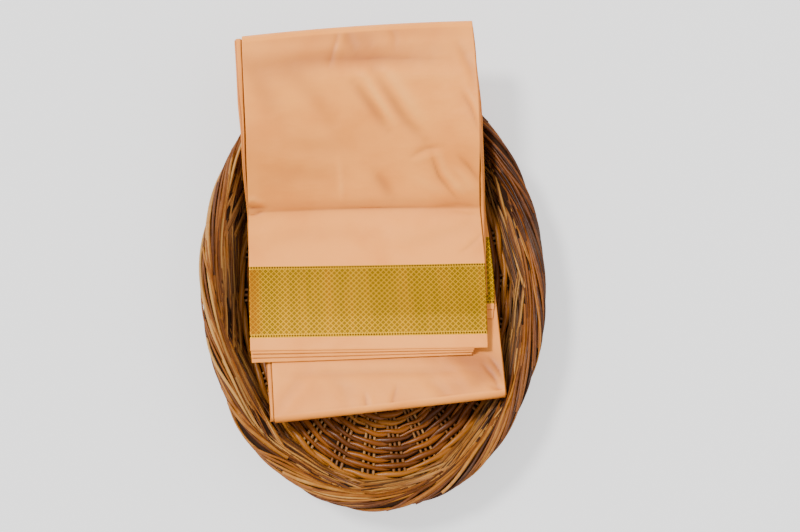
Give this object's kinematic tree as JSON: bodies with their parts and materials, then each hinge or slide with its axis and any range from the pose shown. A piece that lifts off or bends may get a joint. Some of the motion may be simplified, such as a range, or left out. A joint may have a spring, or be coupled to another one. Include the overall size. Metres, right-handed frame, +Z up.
{
  "type": "silk sari folded in an oval wicker basket",
  "caption": "Long pleated silk sari with woven gold borders, folded in two and laid across a shallow oval wicker basket, one end hanging over the rim.",
  "frame": {"origin": "centre of the basket's flat underside", "axes": "+Z up, +Y along the basket from the pad's rounded near fold to the fold that hangs over the rim, +X to the right"},
  "size_m": [0.299, 0.4216, 0.0885],
  "materials": {
    "silk": "plain-woven peach silk with a soft satin sheen",
    "zari": "gold thread brocade in a small diamond lattice",
    "willow": "split and round willow rods, brown stained, semi-gloss"
  },
  "bodies": {
    "root": {"basket_base": "willow", "basket_wall": "willow", "basket_rim": "willow", "hidden_layers": "silk", "lower_panel": "silk", "upper_panel": "silk", "upper_selvedge": "silk", "selvedge_leaf_2": "silk", "selvedge_leaf_3": "silk", "selvedge_leaf_4": "silk", "inner_panel": "silk", "inner_selvedge": "silk", "inner_selvedge_step": "silk", "upper_border": "zari", "inner_border": "zari"}
  },
  "joints": []
}
